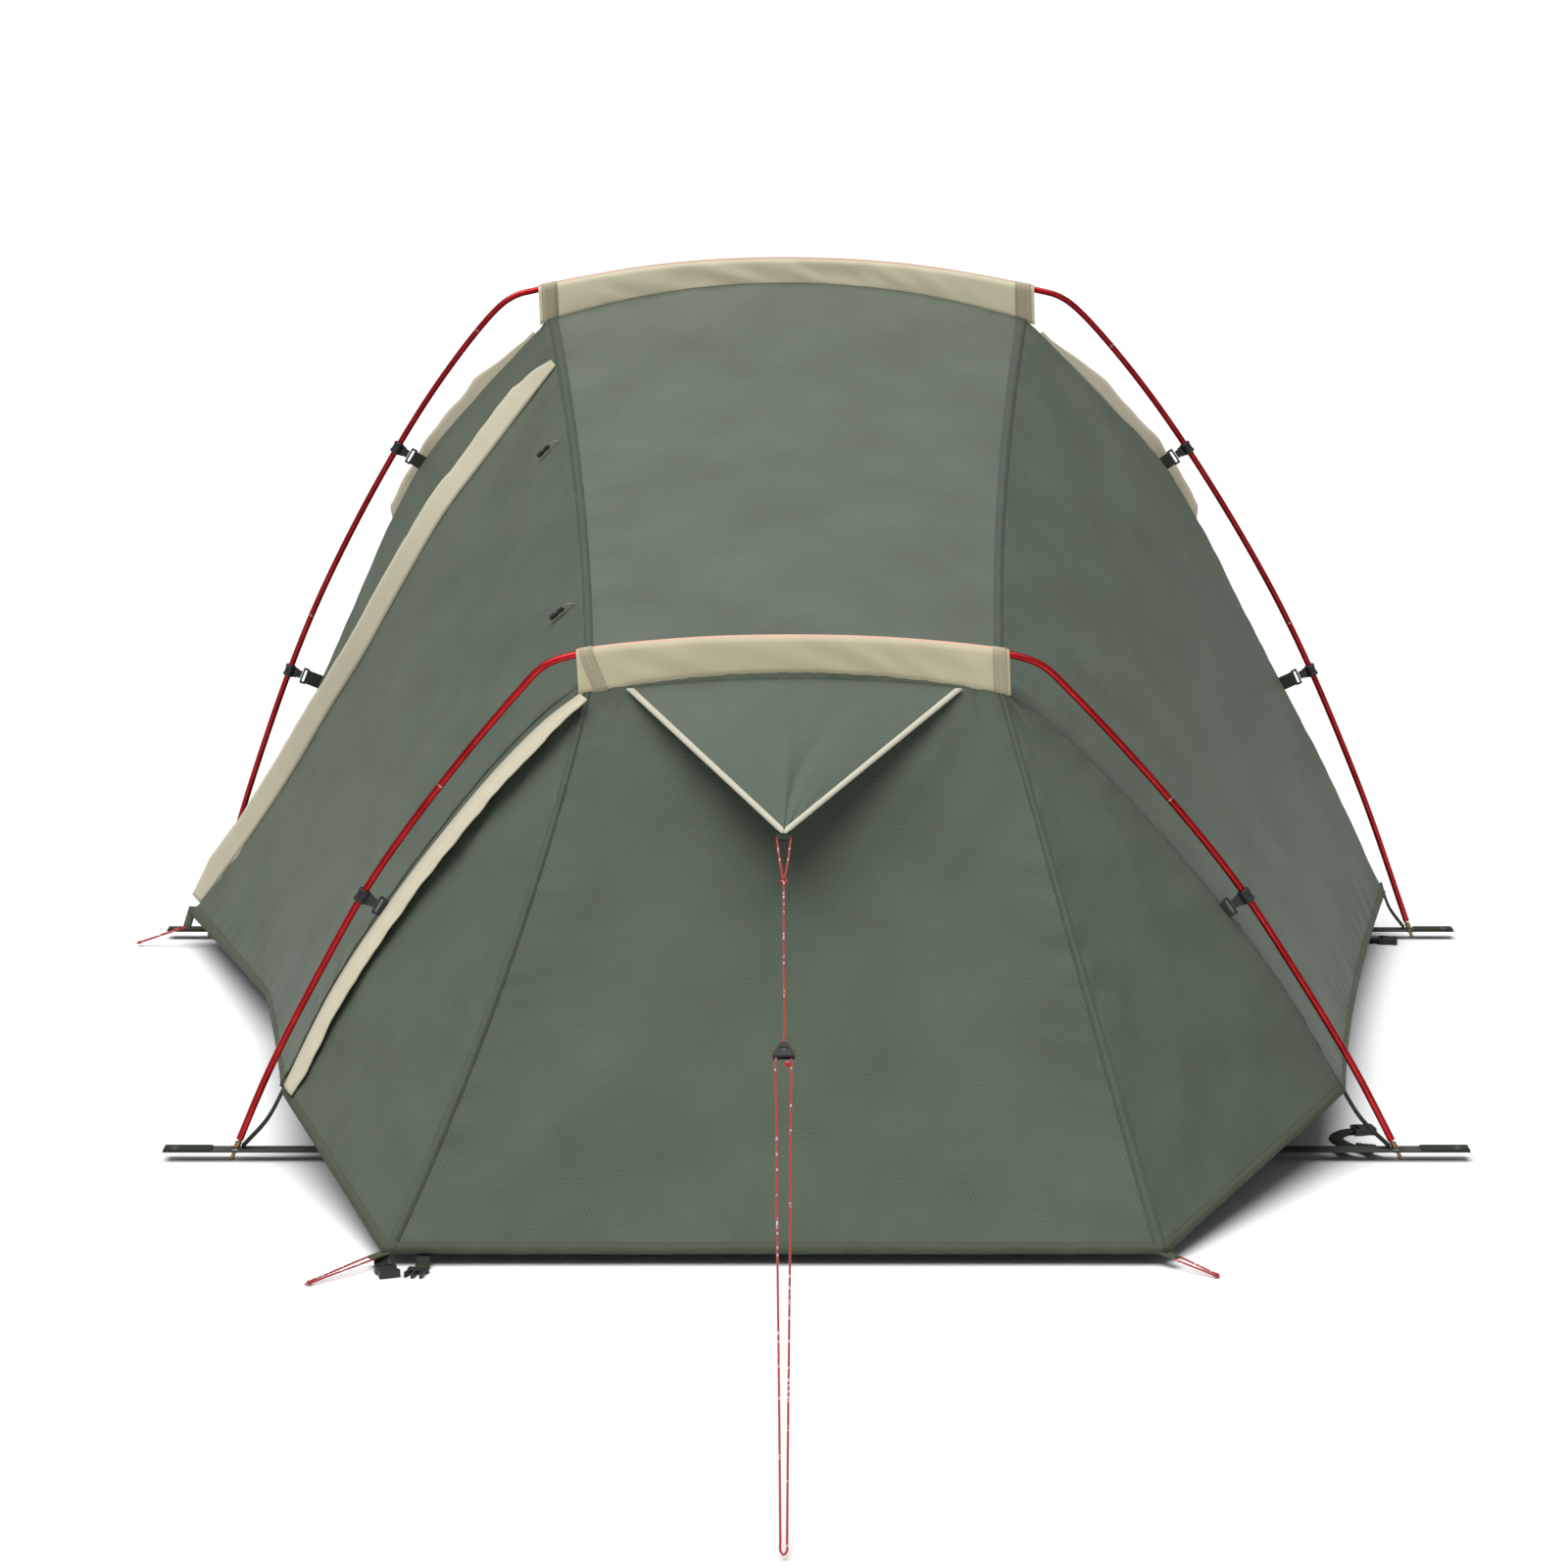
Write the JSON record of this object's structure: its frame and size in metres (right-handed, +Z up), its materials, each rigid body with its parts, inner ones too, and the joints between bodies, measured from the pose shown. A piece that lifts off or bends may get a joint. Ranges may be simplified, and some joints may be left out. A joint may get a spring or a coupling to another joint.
{
  "type": "two-hoop tunnel tent",
  "caption": "Low tunnel tent on two hooped external poles, tapering to the front, with a side door, rear doors, a vent hood and a front guyline.",
  "frame": {"origin": "on the ground, at the middle of the tent's own box without its cords", "axes": "+Z up, +Y towards the tall rear end, +X to the right seen from the low front end"},
  "size_m": [2.1342, 3.8493, 1.1009],
  "materials": {
    "ripstop": "coated ripstop",
    "trim": "matt woven",
    "anodised_pole": "anodised satin",
    "tip_brass": "turned",
    "grommet_steel": "satin",
    "webbing": "woven webbing",
    "acetal": "moulded matt",
    "cord": "braided"
  },
  "bodies": {
    "side_door": {"side_door": "ripstop"},
    "side_door_rear_toggle": {"side_door_rear_toggle": "acetal"},
    "side_door_front_toggle": {"side_door_front_toggle": "acetal"},
    "rear_left_door": {"rear_left_door": "ripstop"},
    "rear_right_door": {"rear_right_door": "ripstop"},
    "tall_left_upper_clip_collar": {"tall_left_upper_clip_collar": "acetal"},
    "tall_left_lower_clip_collar": {"tall_left_lower_clip_collar": "acetal"},
    "tall_right_upper_clip_collar": {"tall_right_upper_clip_collar": "acetal"},
    "tall_right_lower_clip_collar": {"tall_right_lower_clip_collar": "acetal"},
    "low_left_leg_clip_collar": {"low_left_leg_clip_collar": "acetal"},
    "low_right_leg_clip_collar": {"low_right_leg_clip_collar": "acetal"},
    "guy_slider": {"guy_slider": "acetal"},
    "front_zip_slider": {"front_zip_slider": "acetal"},
    "front_left_buckle_socket": {"front_left_buckle_socket": "acetal"},
    "front_left_buckle_prong": {"front_left_buckle_prong": "acetal"},
    "low_right_buckle_socket": {"low_right_buckle_socket": "acetal"},
    "low_right_buckle_prong": {"low_right_buckle_prong": "acetal"},
    "tall_right_buckle_socket": {"tall_right_buckle_socket": "acetal"},
    "tent": {"roof_panel": "ripstop", "right_wall": "ripstop", "tall_hoop_strip": "ripstop", "front_panel": "ripstop", "rear_panel": "ripstop", "front_left_panel": "ripstop", "front_right_panel": "ripstop", "side_door_rear_flap": "trim", "side_door_front_flap": "trim", "vent_hood": "ripstop", "guyline": "cord", "rear_left_peg_loop": "cord", "front_left_peg_loop": "cord", "front_right_peg_loop": "cord", "tall_pole_section_1": "anodised_pole", "tall_pole_section_2": "anodised_pole", "tall_pole_section_3": "anodised_pole", "tall_pole_section_4": "anodised_pole", "tall_pole_section_5": "anodised_pole", "tall_pole_section_6": "anodised_pole", "tall_base_strap": "webbing", "tall_left_grommet": "grommet_steel", "tall_right_grommet": "grommet_steel", "tall_sleeve": "trim", "tall_left_pole_tip": "tip_brass", "tall_left_upper_clip_strap": "webbing", "tall_left_lower_clip_strap": "webbing", "tall_right_pole_tip": "tip_brass", "tall_right_upper_clip_strap": "webbing", "tall_right_lower_clip_strap": "webbing", "low_pole_section_1": "anodised_pole", "low_pole_section_2": "anodised_pole", "low_pole_section_3": "anodised_pole", "low_pole_section_4": "anodised_pole", "low_base_strap": "webbing", "low_left_grommet": "grommet_steel", "low_right_grommet": "grommet_steel", "low_sleeve": "trim", "low_left_pole_tip": "tip_brass", "low_left_leg_clip_strap": "webbing", "low_right_pole_tip": "tip_brass", "low_right_leg_clip_strap": "webbing"}
  },
  "joints": [
    {"name": "side_door_swing", "type": "hinge", "parent": "tent", "child": "side_door", "pos_m": [-0.29714, -1.007, 0.628], "axis": [-0.0888, 0.953, 0.2897], "range_deg": [0, 100]},
    {"name": "side_door_rear_toggle_swing", "type": "hinge", "parent": "side_door", "child": "side_door_rear_toggle", "pos_m": [-0.38023, -0.17821, 0.86082], "axis": [-0.6995, 0, 0.7147], "range_deg": [0, 35]},
    {"name": "side_door_front_toggle_swing", "type": "hinge", "parent": "side_door", "child": "side_door_front_toggle", "pos_m": [-0.33004, -0.72249, 0.70142], "axis": [-0.6494, 0, 0.7605], "range_deg": [0, 35]},
    {"name": "rear_left_door_swing", "type": "hinge", "parent": "tent", "child": "rear_left_door", "pos_m": [-0.41245, 0.23, 1.004], "axis": [-0.0171, 0.7889, -0.6143], "range_deg": [0, 90]},
    {"name": "rear_right_door_swing", "type": "hinge", "parent": "tent", "child": "rear_right_door", "pos_m": [0.33755, 0.23, 1.004], "axis": [-0.0635, -0.7874, 0.6132], "range_deg": [0, 90]},
    {"name": "tall_left_upper_clip_collar_turn", "type": "hinge", "parent": "tent", "child": "tall_left_upper_clip_collar", "pos_m": [-0.65674, 0.23, 0.8], "axis": [0.5185, 0, 0.8551], "range_deg": [-10, 10]},
    {"name": "tall_left_lower_clip_collar_turn", "type": "hinge", "parent": "tent", "child": "tall_left_lower_clip_collar", "pos_m": [-0.83637, 0.23, 0.442], "axis": [0.3661, 0, 0.9306], "range_deg": [-10, 10]},
    {"name": "tall_right_upper_clip_collar_turn", "type": "hinge", "parent": "tent", "child": "tall_right_upper_clip_collar", "pos_m": [0.59706, 0.23, 0.8], "axis": [-0.5629, 0, 0.8265], "range_deg": [-10, 10]},
    {"name": "tall_right_lower_clip_collar_turn", "type": "hinge", "parent": "tent", "child": "tall_right_lower_clip_collar", "pos_m": [0.80339, 0.23, 0.442], "axis": [-0.4239, 0, 0.9057], "range_deg": [-10, 10]},
    {"name": "low_left_leg_clip_collar_turn", "type": "hinge", "parent": "tent", "child": "low_left_leg_clip_collar", "pos_m": [-0.5914, -1.007, 0.357], "axis": [0.5224, 0, 0.8527], "range_deg": [-10, 10]},
    {"name": "low_right_leg_clip_collar_turn", "type": "hinge", "parent": "tent", "child": "low_right_leg_clip_collar", "pos_m": [0.55826, -1.007, 0.357], "axis": [-0.5764, 0, 0.8172], "range_deg": [-10, 10]},
    {"name": "guy_slider_slide", "type": "slide", "parent": "tent", "child": "guy_slider", "axis": [0, -0.9253, -0.3793], "range_m": [0, 0.3]},
    {"name": "front_zip_slider_slide", "type": "slide", "parent": "tent", "child": "front_zip_slider", "axis": [0.4596, 0, 0.8881], "range_m": [0, 0.2]},
    {"name": "front_left_buckle_socket_lift", "type": "hinge", "parent": "tent", "child": "front_left_buckle_socket", "pos_m": [-0.524, -1.4674, 0], "axis": [-0.9394, -0.3429, 0], "range_deg": [0, 40]},
    {"name": "front_left_buckle_prong_lift", "type": "hinge", "parent": "tent", "child": "front_left_buckle_prong", "pos_m": [-0.481, -1.47, 0], "axis": [-0.9689, 0.2474, 0], "range_deg": [0, 40]},
    {"name": "low_right_buckle_socket_lift", "type": "hinge", "parent": "tent", "child": "low_right_buckle_socket", "pos_m": [0.724, -0.888, 0], "axis": [0.1782, -0.984, 0], "range_deg": [0, 40]},
    {"name": "low_right_buckle_prong_lift", "type": "hinge", "parent": "tent", "child": "low_right_buckle_prong", "pos_m": [0.716, -0.962, 0], "axis": [-0.2675, -0.9636, 0], "range_deg": [0, 40]},
    {"name": "tall_right_buckle_socket_lift", "type": "hinge", "parent": "tent", "child": "tall_right_buckle_socket", "pos_m": [0.92, 0.196, 0], "axis": [-0.17, -0.9854, 0], "range_deg": [0, 40]}
  ]
}
